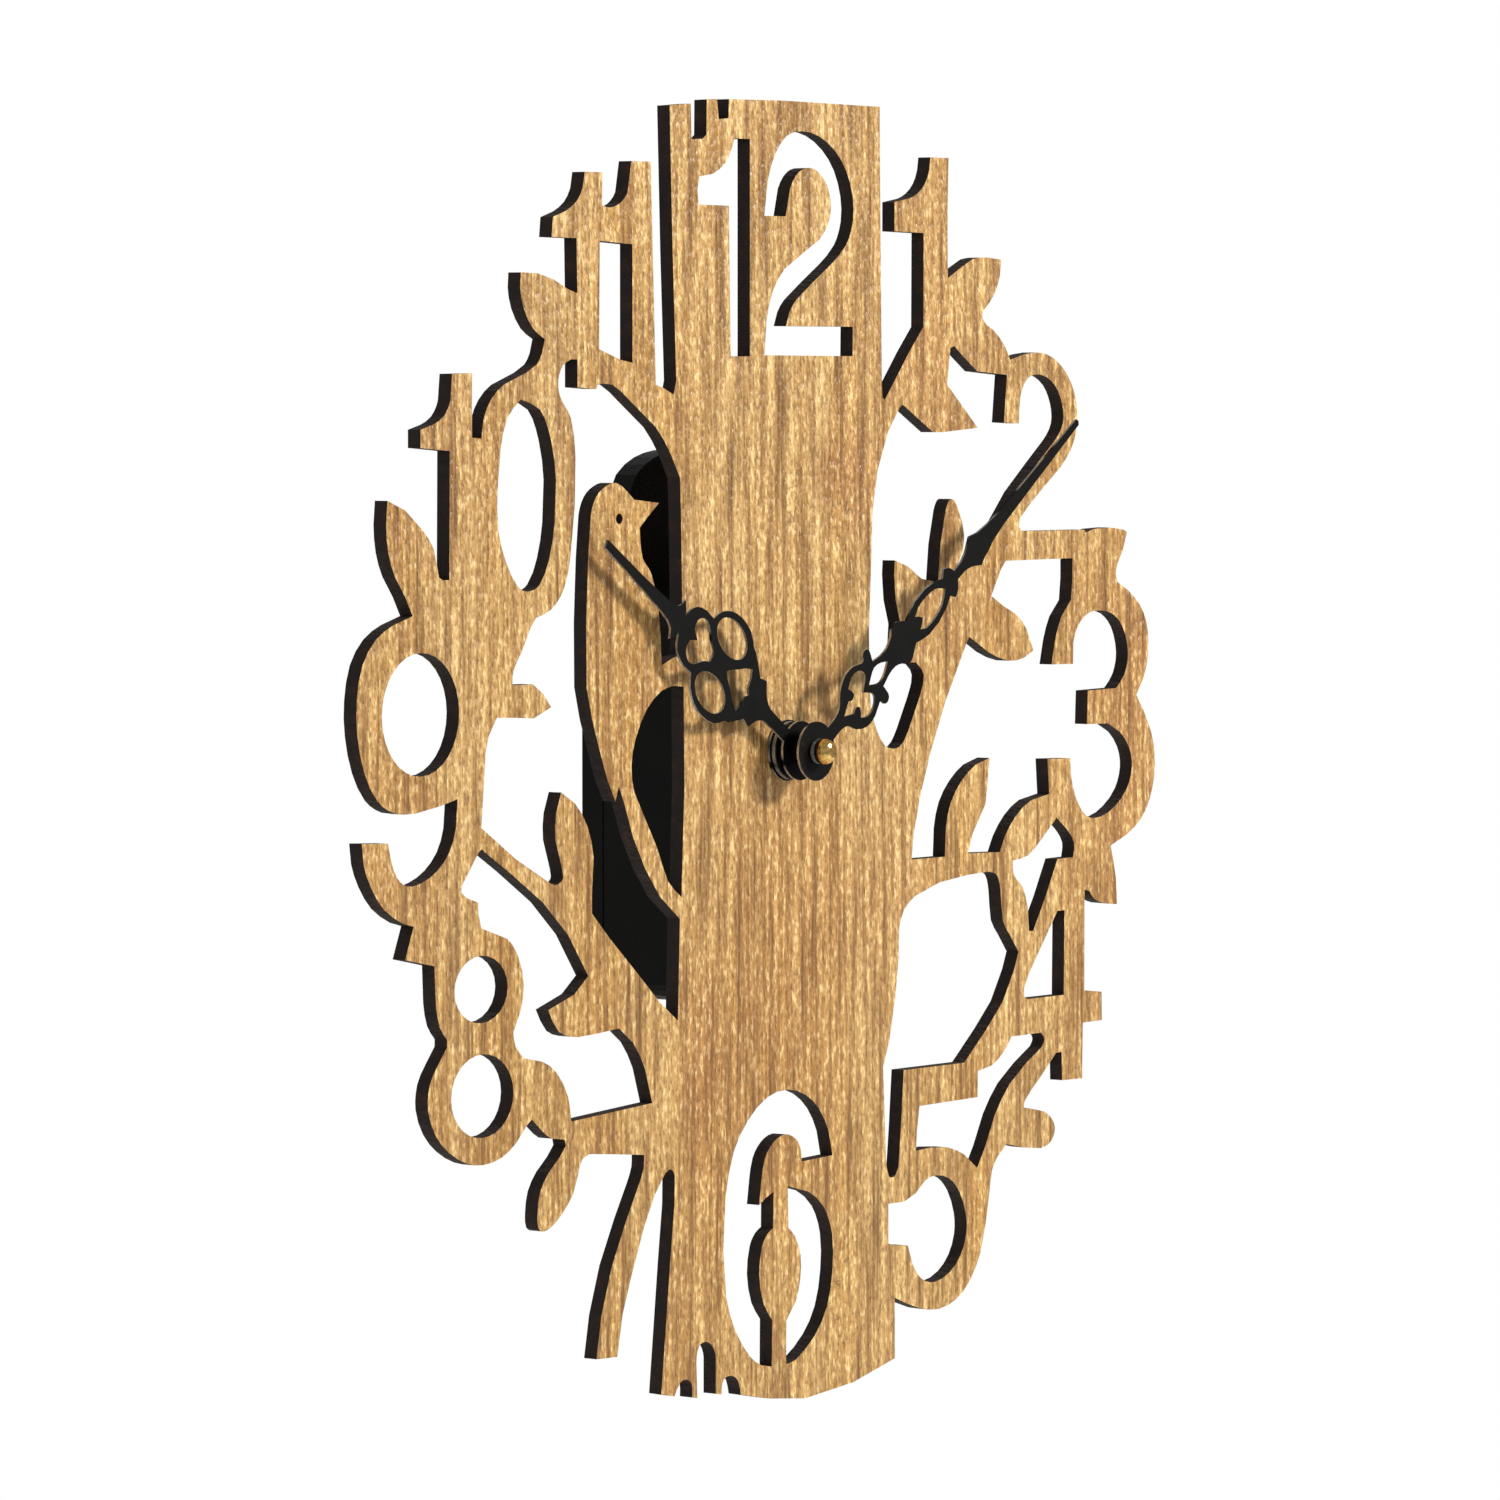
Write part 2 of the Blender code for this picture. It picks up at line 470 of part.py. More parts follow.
def branch_openings():
    """The see-through spaces between the trunk, the branches and the numerals."""
    beside_bird = outline(
        line((-63.1, 74.9), (-63.1, 69.7), (-57.6, 69.4), (-57.0, 70.3)),
        curve((-52.8, 70.2), (-47.4, 67.1), (-39.8, 62.2), (-35.2, 57.0), (-32.5, 52.6)),
        line((-32.2, 46.0), (-31.9, 31.0), (-31.9, 19.5)),
        curve((-35.0, 18.6), (-38.1, 17.4)),
        curve((-38.4, 23.0), (-39.2, 29.0), (-41.2, 34.8), (-43.8, 37.7), (-44.5, 41.0), (-44.7, 43.4)),
        line((-42.2, 45.5), (-38.9, 48.0), (-46.3, 48.7)),
        curve((-48.6, 50.4), (-51.6, 51.9), (-54.8, 51.3), (-57.6, 49.4), (-59.2, 46.0), (-60.0, 38.0),
              (-60.6, 26.0), (-60.5, 14.0), (-58.9, 8.0), (-56.7, 2.2), (-54.4, -3.4), (-52.0, -7.6)),
        line((-51.0, -4.8)),
        curve((-49.4, -8.0), (-46.8, -14.4), (-43.1, -20.7), (-38.6, -26.2), (-32.6, -30.7)),
        line((-33.2, -50.0)),
        curve((-38.6, -46.2), (-47.0, -38.9), (-53.8, -33.1), (-59.0, -28.2)),
        curve((-59.0, -24.8), (-58.5, -17.8), (-60.3, -11.9), (-64.0, -7.4), (-68.0, -5.2)),
        curve((-69.5, -9.0), (-69.7, -14.0), (-67.7, -19.6)),
        curve((-67.6, -21.4), (-69.9, -22.3), (-72.2, -21.4)),
        line((-81.2, -16.9), (-91.1, -10.7)),
        curve((-90.6, -5.6), (-90.0, 1.2), (-89.0, 5.9), (-86.6, 9.3)),
        curve((-81.5, 9.1), (-76.0, 8.8), (-70.9, 10.7)),
        curve((-73.2, 13.2), (-76.2, 15.1)),
        line((-82.1, 15.1)),
        curve((-81.8, 17.8), (-79.4, 21.2), (-76.8, 25.6), (-75.3, 27.3)),
        curve((-70.9, 28.7), (-67.1, 32.5), (-65.2, 38.5), (-63.9, 48.0), (-63.7, 57.0), (-65.0, 64.0),
              (-68.1, 67.9), (-68.7, 71.0), (-67.3, 73.8), (-64.9, 74.9)))
    behind_tail = outline(
        line((-31.4, 13.2), (-31.2, -6.0), (-32.1, -26.6)),
        curve((-36.2, -23.4), (-39.5, -16.9), (-43.4, -10.8), (-46.4, -6.0), (-47.2, -1.2), (-46.0, 3.8),
              (-42.6, 9.3), (-38.2, 12.6), (-34.5, 13.5)))
    beside_eight = outline(
        line((-91.1, -14.6)),
        curve((-83.0, -19.3), (-73.3, -25.4), (-66.0, -31.8), (-60.1, -39.8)),
        line((-64.3, -43.0), (-71.9, -45.4)),
        curve((-68.8, -49.6), (-63.2, -51.0), (-57.0, -50.7), (-51.0, -50.2)),
        curve((-46.8, -53.2), (-43.2, -58.4), (-41.0, -65.0)),
        line((-65.2, -66.6)),
        curve((-66.1, -61.9), (-69.4, -57.2), (-73.6, -54.8), (-79.0, -53.8)),
        curve((-81.4, -51.4), (-82.0, -48.8)),
        curve((-79.9, -45.0), (-79.0, -40.3), (-80.4, -35.2), (-83.8, -31.4), (-91.1, -29.1)),
        line((-91.9, -26.6), (-92.1, -24.3), (-95.3, -23.3), (-96.8, -22.2), (-96.6, -21.0), (-91.9, -15.2)))
    right_of_trunk = outline(
        line((36.8, 65.7)),
        curve((33.0, 60.9), (29.7, 53.6), (28.0, 45.5), (27.5, 34.0), (26.9, 22.3), (27.1, 10.5), (28.7, 4.2),
              (32.2, -0.4), (36.9, -0.8), (40.0, 2.6), (43.2, 8.2), (44.9, 13.0), (42.3, 15.6)),
        line((37.4, 15.7)),
        curve((36.8, 18.6), (37.2, 23.3)),
        curve((35.6, 28.0), (35.1, 33.0), (35.3, 35.8)),
        curve((39.7, 34.5), (44.2, 32.0), (49.6, 31.2)),
        curve((50.4, 38.7), (52.1, 45.4), (54.1, 47.6), (56.6, 44.9), (58.3, 40.4), (57.4, 36.5), (54.9, 33.0)),
        curve((60.0, 34.2), (64.6, 35.4), (67.4, 38.2), (70.8, 43.2), (76.0, 48.7), (83.0, 54.2), (89.4, 59.1),
              (92.0, 62.4), (91.7, 66.2), (89.2, 70.0), (84.6, 72.1), (79.8, 71.4), (77.3, 67.7), (76.8, 62.4)),
        line((71.7, 62.6), (72.7, 72.1), (68.2, 72.4), (62.6, 72.8), (58.1, 75.6), (54.9, 77.8), (53.6, 77.4),
             (52.5, 70.2), (62.8, 61.6), (51.3, 60.8), (47.9, 60.8), (42.0, 64.0), (37.8, 66.3)))
    between_two_and_three = outline(
        line((67.5, 28.1), (70.8, 33.4), (72.4, 35.0), (95.4, 35.1)),
        curve((95.4, 31.0), (94.9, 26.6)),
        curve((91.6, 23.4), (89.4, 18.6), (88.2, 13.8)),
        line((95.7, 13.7)),
        curve((95.8, 18.0), (97.6, 21.6), (101.2, 23.9), (105.2, 24.3), (109.6, 23.5), (113.3, 20.6),
              (115.1, 15.4), (113.8, 11.0), (110.9, 8.3)),
        line((100.9, 8.1), (100.6, 1.3), (108.0, 1.2)),
        curve((112.3, -0.7), (115.6, -4.0), (116.6, -8.0), (114.8, -12.4), (110.6, -15.8), (105.6, -17.7),
              (100.6, -17.4), (97.0, -13.8), (95.2, -9.4), (94.8, -5.4)),
        line((86.9, -5.2), (87.5, -12.3)),
        curve((81.2, -13.3), (76.0, -16.2), (72.2, -20.2), (70.5, -23.2)),
        line((59.7, -22.9)),
        curve((61.4, -18.9), (65.6, -13.4)),
        line((66.2, -10.0), (67.0, -4.2)),
        curve((62.2, -5.4), (57.4, -8.5), (53.9, -12.6), (52.3, -17.6), (52.0, -23.2)),
        line((40.9, -23.2)),
        curve((41.6, -18.2), (43.8, -10.6), (47.3, -2.0), (52.1, 7.6), (59.2, 19.0)),
        line((60.0, 20.2)),
        curve((66.6, 16.9), (73.4, 15.0), (78.6, 15.4), (81.9, 16.8)),
        curve((79.5, 21.3), (75.8, 24.3), (71.6, 26.0), (67.5, 28.1)))
    right_of_root = outline(
        line((66.8, -26.9)),
        curve((69.6, -27.8), (70.8, -31.0), (71.6, -37.0), (74.0, -40.0), (77.0, -43.6)),
        curve((75.5, -47.1), (71.6, -53.3), (66.0, -58.5), (58.6, -64.6)),
        line((38.4, -64.6), (37.5, -75.8), (36.7, -83.6)),
        curve((35.4, -85.3), (33.5, -85.1), (32.6, -82.0)),
        line((32.0, -70.2), (31.6, -63.4)),
        curve((33.6, -58.6), (35.6, -50.0), (36.7, -42.0), (36.9, -36.2)),
        curve((38.4, -33.0), (42.3, -30.4), (50.2, -28.2), (59.7, -27.2), (66.8, -26.9)))
    above_four = outline(
        line((75.0, -25.1)),
        curve((80.1, -24.4), (85.0, -21.2), (90.1, -17.2)),
        curve((93.6, -19.7), (96.2, -22.6), (95.9, -25.5)),
        line((90.4, -25.6)),
        curve((86.3, -33.0), (82.0, -39.7)),
        line((80.6, -39.6)),
        curve((80.1, -34.7), (78.4, -30.7), (75.3, -28.0), (75.0, -25.1)))
    above_five = outline(
        line((74.7, -60.5), (84.8, -60.4)),
        curve((86.0, -61.8), (85.1, -63.3)),
        curve((79.5, -66.3), (74.0, -70.0), (69.0, -75.8), (65.8, -81.8), (63.0, -86.0)),
        curve((58.6, -82.9), (52.8, -81.0), (47.3, -80.6), (42.5, -80.9)),
        line((42.8, -77.0), (43.6, -72.1), (63.1, -71.8), (63.2, -66.6)),
        curve((68.0, -65.8), (72.2, -63.2), (74.7, -60.5)))
    return [beside_bird, behind_tail, beside_eight, right_of_trunk, between_two_and_three, right_of_root,
            above_four, above_five]


# ---------------------------------------------------------------- the hands

def turned_by(loop, clockwise):
    """A loop drawn pointing at 12 o'clock, turned to where the hand points."""
    c, s = math.cos(clockwise), math.sin(clockwise)
    return [(x * c + z * s, z * c - x * s) for x, z in loop]


def hub_arc(neck_half_width):
    """The right side of the hub disc, from its bottom to the neck."""
    end = math.degrees(math.acos(neck_half_width / HUB_R))
    return line(*[polar(MAIN, HUB_R, angle) for angle in [-90 + (end + 90) * i / 14 for i in range(15)]])


def hour_hand_loops():
    outer = mirrored(
        hub_arc(1.4),
        curve((1.35, 8.0), (1.4, 12.5), (2.8, 15.0), (5.2, 16.6)),
        line((4.6, 18.6)),
        curve((6.0, 20.2), (7.8, 22.4), (8.3, 23.6)),
        curve((10.3, 26.0), (11.0, 29.8), (10.3, 33.2), (8.4, 35.8), (6.1, 37.1)),
        curve((6.2, 39.8), (5.3, 42.4), (3.8, 43.8), (1.8, 44.6)),
        curve((2.8, 45.0), (4.3, 46.2)),
        curve((2.6, 47.0), (1.7, 48.8), (1.4, 51.5)),
        line((1.05, 60.0), (0.85, 72.0), (0.0, 72.0)))
    loops = [ellipse((side * 6.05, 30.2), 3.45, 5.2, 26) for side in (1, -1)]
    lyre = mirrored(line((0.0, 19.6)),
                    curve((0.9, 20.6), (3.0, 20.9), (4.7, 21.6)),
                    curve((3.6, 23.6), (2.0, 25.6), (1.0, 27.2), (0.0, 28.2)))
    crown = mirrored(line((0.0, 33.3), (1.2, 33.4)),
                     curve((2.2, 35.2), (4.3, 37.4), (4.7, 39.3), (3.2, 41.0), (1.2, 40.9)),
                     line((0.0, 39.0)))
    return outer, [*loops, lyre, crown]


def minute_hand_loops():
    outer = mirrored(
        hub_arc(1.5),
        curve((1.45, 8.2), (2.2, 10.6), (4.4, 12.4), (6.1, 15.4), (6.0, 18.8), (4.8, 21.4)),
        line((5.0, 22.2)),
        curve((5.9, 22.4), (6.3, 23.4), (5.8, 24.4), (4.8, 24.6), (3.0, 24.2)),
        curve((2.3, 27.0), (2.3, 29.6), (3.2, 31.6), (4.5, 33.2), (4.4, 35.0), (2.7, 37.6)),
        curve((3.3, 39.2), (4.0, 42.0), (4.0, 46.0), (3.2, 49.6), (2.1, 51.9)),
        line((3.4, 53.2)),
        curve((2.6, 54.8), (1.0, 55.8)),
        curve((1.1, 58.6), (1.9, 61.2), (3.5, 63.8)),
        curve((2.5, 66.5), (1.9, 70.0), (1.45, 74.6)),
        line((1.1, 88.0), (0.7, 106.6), (0.0, 107.0)))
    trefoil = mirrored(line((0.0, 10.8)),
                       curve((0.9, 12.4), (1.5, 13.6)),
                       curve((1.0, 14.6), (1.5, 15.7), (2.6, 15.5), (3.5, 14.9)),
                       curve((4.6, 16.8), (4.5, 19.2), (3.0, 20.8), (1.6, 20.3), (0.0, 18.3)))
    diamond = mirrored(line((0.0, 20.6)), curve((1.0, 22.2), (1.75, 23.9), (1.2, 26.2), (0.0, 28.2)))
    loop = mirrored(line((0.0, 42.2)),
                    curve((0.8, 41.4), (1.5, 40.2)),
                    curve((2.5, 42.2), (2.6, 45.6), (1.9, 49.0), (0.0, 51.4)))
    return outer, [trefoil, diamond, loop]


# ---------------------------------------------------------------- the movement

def case_outline(inset):
    """The front case seen from the front, with rounded shoulders above."""
    half = CASE_HALF_WIDTH - inset
    top = CASE_TOP - inset
    shoulder = CASE_SHOULDER - inset
    bottom = CASE_BOTTOM + inset
    return mirrored(line((0.0, bottom), (half - 3.0, bottom)),
                    curve((half - 0.9, bottom + 0.9), (half, bottom + 3.0)),
                    line((half, shoulder - 9.0)),
                    curve((half - 1.6, shoulder - 3.0), (half - 6.5, shoulder + 1.2), (half - 12.0, top - 0.4)),
                    line((0.0, top)))


def cover_outline():
    """The rear cover follows the case and carries the domed hanger above it."""
    return mirrored(line((0.0, CASE_BOTTOM), (CASE_HALF_WIDTH - 3.0, CASE_BOTTOM)),
                    curve((CASE_HALF_WIDTH - 0.9, CASE_BOTTOM + 0.9), (CASE_HALF_WIDTH, CASE_BOTTOM + 3.0)),
                    line((CASE_HALF_WIDTH, CASE_SHOULDER - 9.0)),
                    curve((26.4, CASE_SHOULDER - 3.0), (22.6, CASE_SHOULDER + 3.6), (20.4, 36.0)),
                    line((HANGER_HALF_WIDTH, HANGER_DOME_START - 2.0)),
                    curve((17.6, 52.9), (12.0, 56.2), (6.0, 57.5), (0.0, HANGER_TOP)))


def motion_work(brass, plastic, black):
    cannon_phase = math.radians(4)
    minute_phase = meshed_phase(MAIN, TEETH_CANNON, cannon_phase, MINUTE_WHEEL_AT, TEETH_MINUTE_WHEEL)
    setting_phase = meshed_phase(MINUTE_WHEEL_AT, TEETH_MINUTE_WHEEL, minute_phase, SETTING_AT, TEETH_SETTING)
    hour_phase = meshed_phase(MINUTE_WHEEL_AT, TEETH_MINUTE_PINION, 0.0, MAIN, TEETH_HOUR_WHEEL)

    hour_gear = gear(MAIN, TEETH_HOUR_WHEEL, MOTION_MODULE, hour_phase)
    pipe = circle(MAIN, HOUR_PIPE_R)
    pipe_bore = circle(MAIN, MINUTE_SHAFT_R + GAP)
    stepped("hour_wheel", [(-32.2, pipe), (-20.0, pipe), (-20.0, hour_gear), (-18.9, hour_gear)],
            [(-32.2, pipe_bore), (-18.9, pipe_bore)], black)

    cannon_gear = gear(MAIN, TEETH_CANNON, MOTION_MODULE, cannon_phase, pointed=False)
    shaft = circle(MAIN, MINUTE_SHAFT_R)
    tip = circle(MAIN, MINUTE_TIP_R)
    shaft_bore = circle(MAIN, SPINDLE_R + GAP, 16)
    stepped("cannon_pinion",
            [(-37.2, tip), (-35.2, tip), (-35.2, shaft), (-18.6, shaft), (-18.6, cannon_gear),
             (-17.4, cannon_gear), (-17.4, shaft), (-14.4, shaft)],
            [(-37.2, shaft_bore), (-14.4, shaft_bore)], brass)

    pinion = gear(MINUTE_WHEEL_AT, TEETH_MINUTE_PINION, MOTION_MODULE, 0.0, pointed=False)
    wheel = gear(MINUTE_WHEEL_AT, TEETH_MINUTE_WHEEL, MOTION_MODULE, minute_phase)
    pivot = circle(MINUTE_WHEEL_AT, 0.45, 12)
    stepped("minute_wheel", [(-20.2, pinion), (-18.5, pinion), (-18.5, wheel), (-17.5, wheel),
                             (-17.5, pivot), (-16.2, pivot)], [], plastic, MINUTE_WHEEL_AT)

    setting = gear(SETTING_AT, TEETH_SETTING, MOTION_MODULE, setting_phase, pointed=False)
    stem = circle(SETTING_AT, 1.1, 24)
    flange = circle(SETTING_AT, 4.0, 24)
    knurl = gear(SETTING_AT, 20, 0.5, 0.0, pointed=False)
    stepped("setting_knob", [(-18.6, setting), (-17.4, setting), (-17.4, stem), (-4.6, stem), (-4.6, flange),
                             (-3.6, flange), (-3.6, knurl), (-0.6, knurl)], [], plastic, SETTING_AT)


def going_train(plastic, brass, magnet):
    """Rotor to intermediate, seconds, third and centre wheels, each in mesh with the next."""
    rotor_phase = math.radians(10)
    intermediate_phase = meshed_phase(ROTOR_AT, TEETH_PINION, rotor_phase, INTERMEDIATE_AT, TEETH_INTERMEDIATE)
    seconds_phase = meshed_phase(INTERMEDIATE_AT, TEETH_PINION, 0.0, MAIN, TEETH_SECONDS)
    third_phase = meshed_phase(MAIN, TEETH_PINION, 0.0, THIRD_AT, TEETH_THIRD)
    centre_phase = meshed_phase(THIRD_AT, TEETH_PINION, 0.0, MAIN, TEETH_CENTRE)

    rotor_gear = gear(ROTOR_AT, TEETH_PINION, ROTOR_MODULE, rotor_phase, pointed=False)
    arbor = circle(ROTOR_AT, 0.4, 12)
    stepped("rotor", [(-12.6, arbor), (-11.4, arbor), (-11.4, rotor_gear), (-10.2, rotor_gear), (-10.2, arbor),
                      (-9.9, arbor), (-9.9, circle(ROTOR_AT, 3.2)), (-7.6, circle(ROTOR_AT, 3.2)),
                      (-7.6, arbor), (-6.3, arbor)], [], magnet, ROTOR_AT)

    pinion = gear(INTERMEDIATE_AT, TEETH_PINION, SECONDS_MODULE, 0.0, pointed=False)
    wheel = gear(INTERMEDIATE_AT, TEETH_INTERMEDIATE, ROTOR_MODULE, intermediate_phase)
    arbor = circle(INTERMEDIATE_AT, 0.4, 12)
    stepped("intermediate_wheel", [(-16.4, arbor), (-12.7, arbor), (-12.7, pinion), (-11.2, pinion),
                                   (-11.2, wheel), (-10.4, wheel), (-10.4, arbor), (-6.3, arbor)],
            [], plastic, INTERMEDIATE_AT)

    spindle = circle(MAIN, SPINDLE_R, 16)
    pinion = gear(MAIN, TEETH_PINION, THIRD_MODULE, 0.0, pointed=False)
    wheel = gear(MAIN, TEETH_SECONDS, SECONDS_MODULE, seconds_phase)
    arbor = circle(MAIN, 0.4, 12)
    stepped("seconds_wheel", [(-36.9, spindle), (-14.1, spindle), (-14.1, pinion), (-12.5, pinion),
                              (-12.5, wheel), (-11.7, wheel), (-11.7, arbor), (-6.3, arbor)], [], plastic)

    pinion = gear(THIRD_AT, TEETH_PINION, CENTRE_MODULE, 0.0, pointed=False)
    wheel = gear(THIRD_AT, TEETH_THIRD, THIRD_MODULE, third_phase)
    arbor = circle(THIRD_AT, 0.4, 12)
    stepped("third_wheel", [(-16.4, arbor), (-15.5, arbor), (-15.5, pinion), (-13.9, pinion), (-13.9, wheel),
                            (-13.1, wheel), (-13.1, arbor), (-6.3, arbor)], [], plastic, THIRD_AT)

    wheel = gear(MAIN, TEETH_CENTRE, CENTRE_MODULE, centre_phase)
    bore = circle(MAIN, MINUTE_SHAFT_R + GAP)
    stepped("centre_wheel", [(-15.4, wheel), (-14.5, wheel)], [(-15.4, bore), (-14.5, bore)], brass)


def motor_and_electronics(steel, copper, plastic, board, black):
    arm_front, arm_back = -9.4, -8.6
    stator = outline(line((7.6, -20.0), (9.6, -26.4), (24.0, -26.4), (24.0, -23.0), (18.4, -23.0), (18.8, -15.0),
                          (18.2, 2.4), (24.0, 2.4), (24.0, 5.6), (15.2, 5.6), (15.0, -9.4), (8.6, -10.4)))
    plate("stator", arm_front, arm_back, stator, [circle(ROTOR_AT, 3.6)], steel)

    core = box(COIL_X - 1.0, COIL_X + 1.0, -26.0, 5.0)
    plate("coil_core", -8.3, -7.5, core, [], steel, (COIL_X, 0.0))

    tube = 1.75
    slot = box(-1.3, 1.3, -0.75, 0.75)
    bobbin = stepped("coil_bobbin",
                     rings(MAIN, (-21.4, 2.5), (-20.6, 2.5), (-20.6, tube), (0.2, tube), (0.2, 2.5), (1.0, 2.5)),
                     [(-21.4, slot), (1.0, slot)], plastic)
    winding = stepped("coil_winding", rings(MAIN, (-20.3, 2.45), (-0.1, 2.45)),
                      rings(MAIN, (-20.3, tube + 0.25), (-0.1, tube + 0.25)), copper)
    for coil_piece in (bobbin, winding):
        coil_piece.location = Vector((COIL_X, COIL_Y, 0.0)) * MM
        coil_piece.rotation_euler = (math.radians(90), 0.0, 0.0)

    plate("circuit_board", -7.1, -6.1, rounded_box(-20.0, -3.0, 12.0, 25.0, 1.0, 2), [], board, (-11.5, 18.5))
    crystal = stepped("quartz_crystal", rings(MAIN, (-7.0, 1.4), (0.0, 1.4), count=16), [], steel)
    crystal.location = Vector((-17.0, -8.9, 21.0)) * MM
    crystal.rotation_euler = (math.radians(90), 0.0, 0.0)
    chip = (-9.0, 19.0)
    stepped("driver_chip", rings(chip, (-8.4, 1.2), (-8.1, 2.4), (-7.4, 3.0), count=20), [], black, chip)


def battery_and_contacts(jacket, steel):
    """The AA cell lies along X, its positive end at the right."""
    battery = stepped("battery", rings(MAIN, (-24.9, 5.5), (-24.7, BATTERY_R), (24.2, BATTERY_R),
                                       (24.5, BATTERY_R - 0.5), (24.5, 2.7), (25.5, 2.6)), [], jacket)
    battery.location = Vector((0.0, BATTERY_Y, BATTERY_Z)) * MM
    battery.rotation_euler = (0.0, 0.0, math.radians(-90))

    positive = plate("positive_contact", -0.15, 0.15, rounded_box(-4.2, 4.2, -5.0, 5.0, 1.2, 2), [], steel)
    positive.location = Vector((26.05, BATTERY_Y, BATTERY_Z)) * MM
    positive.rotation_euler = (0.0, 0.0, math.radians(-90))

    tab = rounded_box(-4.2, 4.2, -5.0, 5.0, 1.2, 2)
    negative = stepped("negative_contact",
                       [(-0.25, tab), (0.05, tab), (0.05, circle(MAIN, 3.2)), (0.6, circle(MAIN, 2.0))], [], steel)
    negative.location = Vector((-25.95, BATTERY_Y, BATTERY_Z)) * MM
    negative.rotation_euler = (0.0, 0.0, math.radians(-90))


def main():
    for obj in list(bpy.data.objects):
        bpy.data.objects.remove(obj, do_unlink=True)

    wood = material("oak_laminate", (0.55, 0.33, 0.12), 0.45)
    black_paint = material("black_hand_paint", (0.012, 0.012, 0.012), 0.4, 0.2)
    black_plastic = material("black_plastic", (0.012, 0.013, 0.012), 0.45)
    polished_brass = material("polished_brass", (0.83, 0.62, 0.27), 0.15, 1.0)
    steel = material("bright_steel", (0.6, 0.6, 0.6), 0.25, 1.0)
    rubber = material("black_rubber", (0.02, 0.02, 0.02), 0.8)
    white_plastic = material("white_plastic", (0.8, 0.8, 0.78), 0.4)
    copper = material("copper_wire", (0.75, 0.3, 0.14), 0.3, 1.0)
    green_board = material("green_circuit_board", (0.02, 0.2, 0.07), 0.4)
    magnet = material("rotor_magnet", (0.1, 0.1, 0.11), 0.35, 0.8)
    jacket = material("battery_jacket", (0.04, 0.09, 0.06), 0.35)

    board_back = BOARD_FRONT + BOARD_THICKNESS
    holes = [*numeral_openings(), *branch_openings(), circle(MAIN, BOARD_HOLE_R), circle(BIRD_EYE, BIRD_EYE_R, 12)]
    plate("dial_panel", BOARD_FRONT, board_back, board_outline(), holes, wood)

    outer, openings = hour_hand_loops()
    loops = [turned_by(loop, HOUR_ANGLE) for loop in (outer, *openings)]
    plate("hour_hand", HOUR_HAND_FRONT, HOUR_HAND_FRONT + HAND_THICKNESS, loops[0],
          [*loops[1:], circle(MAIN, HOUR_PIPE_R + SHEET_CLEARANCE)], black_paint)
    outer, openings = minute_hand_loops()
    loops = [turned_by(loop, MINUTE_ANGLE) for loop in (outer, *openings)]
    plate("minute_hand", MINUTE_HAND_FRONT, MINUTE_HAND_FRONT + HAND_THICKNESS, loops[0],
          [*loops[1:], circle(MAIN, MINUTE_SHAFT_R + SHEET_CLEARANCE)], black_paint)

    stepped("hand_collar", rings(MAIN, (-36.6, 2.1), (-36.3, 2.4), (-35.5, 2.4)),
            rings(MAIN, (-36.6, MINUTE_TIP_R + GAP), (-35.5, MINUTE_TIP_R + GAP)), black_paint)
    dome = [(-39.2, 0.5), (-39.1, 1.1), (-38.8, 1.7), (-38.35, 2.15), (-37.8, 2.4), (-37.3, 2.5), (-36.9, 2.5)]
    stepped("hand_cap_nut", rings(MAIN, *dome), rings(MAIN, (-37.6, MINUTE_TIP_R + GAP), (-36.9, MINUTE_TIP_R + GAP)),
            polished_brass, blind=True)

    neck_bore = circle(MAIN, NECK_BORE_R)
    stepped("threaded_neck", rings(MAIN, (-30.3, NECK_R - 0.3), (-30.0, NECK_R), (-21.1, NECK_R), (-21.1, 5.5), (-20.3, 5.5)),
            [(-30.3, neck_bore), (-20.3, neck_bore)], polished_brass)
    stepped("rubber_washer", rings(MAIN, (-24.2, 9.0), (-23.3, 9.0)), rings(MAIN, (-24.2, 4.2), (-23.3, 4.2)), rubber)
    stepped("fixing_washer", rings(MAIN, (-28.3, 5.9), (-27.8, 5.9)), rings(MAIN, (-28.3, 4.2), (-27.8, 4.2)), black_paint)
    stepped("fixing_nut", rings(MAIN, (-29.6, 5.3), (-29.4, 5.6), (-28.6, 5.6), count=32),
            rings(MAIN, (-29.6, 4.2), (-28.6, 4.2), count=32), black_paint)

    case_rear = COVER_FRONT - GAP
    inner_front = CASE_FRONT + CASE_WALL
    stepped("movement_case", [(CASE_FRONT, case_outline(0.6)), (CASE_FRONT + 0.6, case_outline(0.0)),
                              (case_rear, case_outline(0.0))],
            [(CASE_FRONT, circle(MAIN, 4.2)), (inner_front, circle(MAIN, 4.2)),
             (inner_front, case_outline(CASE_WALL)), (case_rear, case_outline(CASE_WALL))], black_plastic)
    slot = rounded_box(-SLOT_HALF_WIDTH, SLOT_HALF_WIDTH, SLOT_BOTTOM, SLOT_TOP, 1.2, 3)
    bay = rounded_box(-BAY_HALF_WIDTH, BAY_HALF_WIDTH, BAY_BOTTOM, BAY_TOP, 0.8, 2)
    plate("rear_cover", COVER_FRONT, 0.0, cover_outline(), [slot, bay, circle(SETTING_AT, 6.2)], black_plastic)

